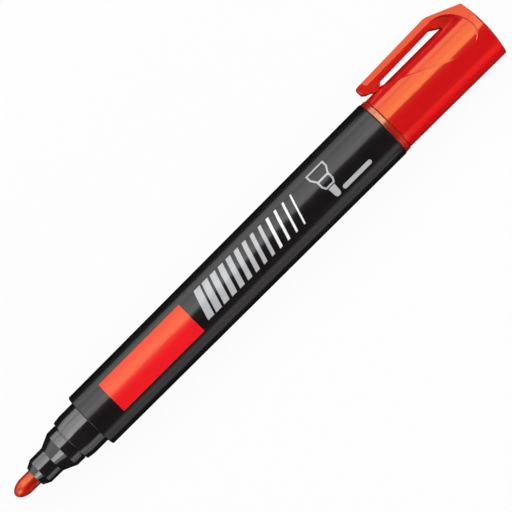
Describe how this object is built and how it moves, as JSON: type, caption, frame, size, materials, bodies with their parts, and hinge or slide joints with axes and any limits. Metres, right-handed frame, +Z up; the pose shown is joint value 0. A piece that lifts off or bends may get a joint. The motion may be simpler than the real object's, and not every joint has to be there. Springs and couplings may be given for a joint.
{
  "type": "permanent marker",
  "caption": "Permanent marker with a bullet nib, a stepped black barrel and a red clip cap posted on its rear end",
  "frame": {"origin": "On the desk under the middle of the marker's bounding box, with the marker lying on its barrel", "axes": "+X runs along the marker from the nib to the cap's closed end, +Y is the side that the pocket clip stands out on, +Z is up"},
  "size_m": [0.1486, 0.0186, 0.0151],
  "materials": {
    "barrel_plastic": "black moulded plastic with a satin shine",
    "holder_plastic": "black moulded plastic, glossier than the barrel",
    "nib_fibre": "pressed fibre soaked with red ink",
    "reservoir_fibre": "fibre rod soaked with red ink",
    "film_plastic": "thin wrapping film",
    "plug_plastic": "orange-brown moulded plastic",
    "cap_plastic": "red moulded plastic with a satin shine",
    "liner_plastic": "soft natural plastic"
  },
  "bodies": {
    "pen": {"barrel": "barrel_plastic", "nib_holder": "holder_plastic", "nib": "nib_fibre", "ink_reservoir": "reservoir_fibre", "reservoir_film": "film_plastic", "end_plug": "plug_plastic"},
    "cap": {"cap_shell": "cap_plastic", "cap_liner": "liner_plastic"},
    "clip": {"pocket_clip": "cap_plastic"}
  },
  "joints": [
    {"name": "cap_slide", "type": "slide", "parent": "pen", "child": "cap", "axis": [1, 0, 0], "range_m": [0, 0.02]},
    {"name": "clip_flex", "type": "hinge", "parent": "cap", "child": "clip", "pos_m": [0.06592, 0.0079, 0.00754], "axis": [0, 0, -1], "range_deg": [0, 5], "stiffness_Nm_per_rad": 0.05}
  ]
}
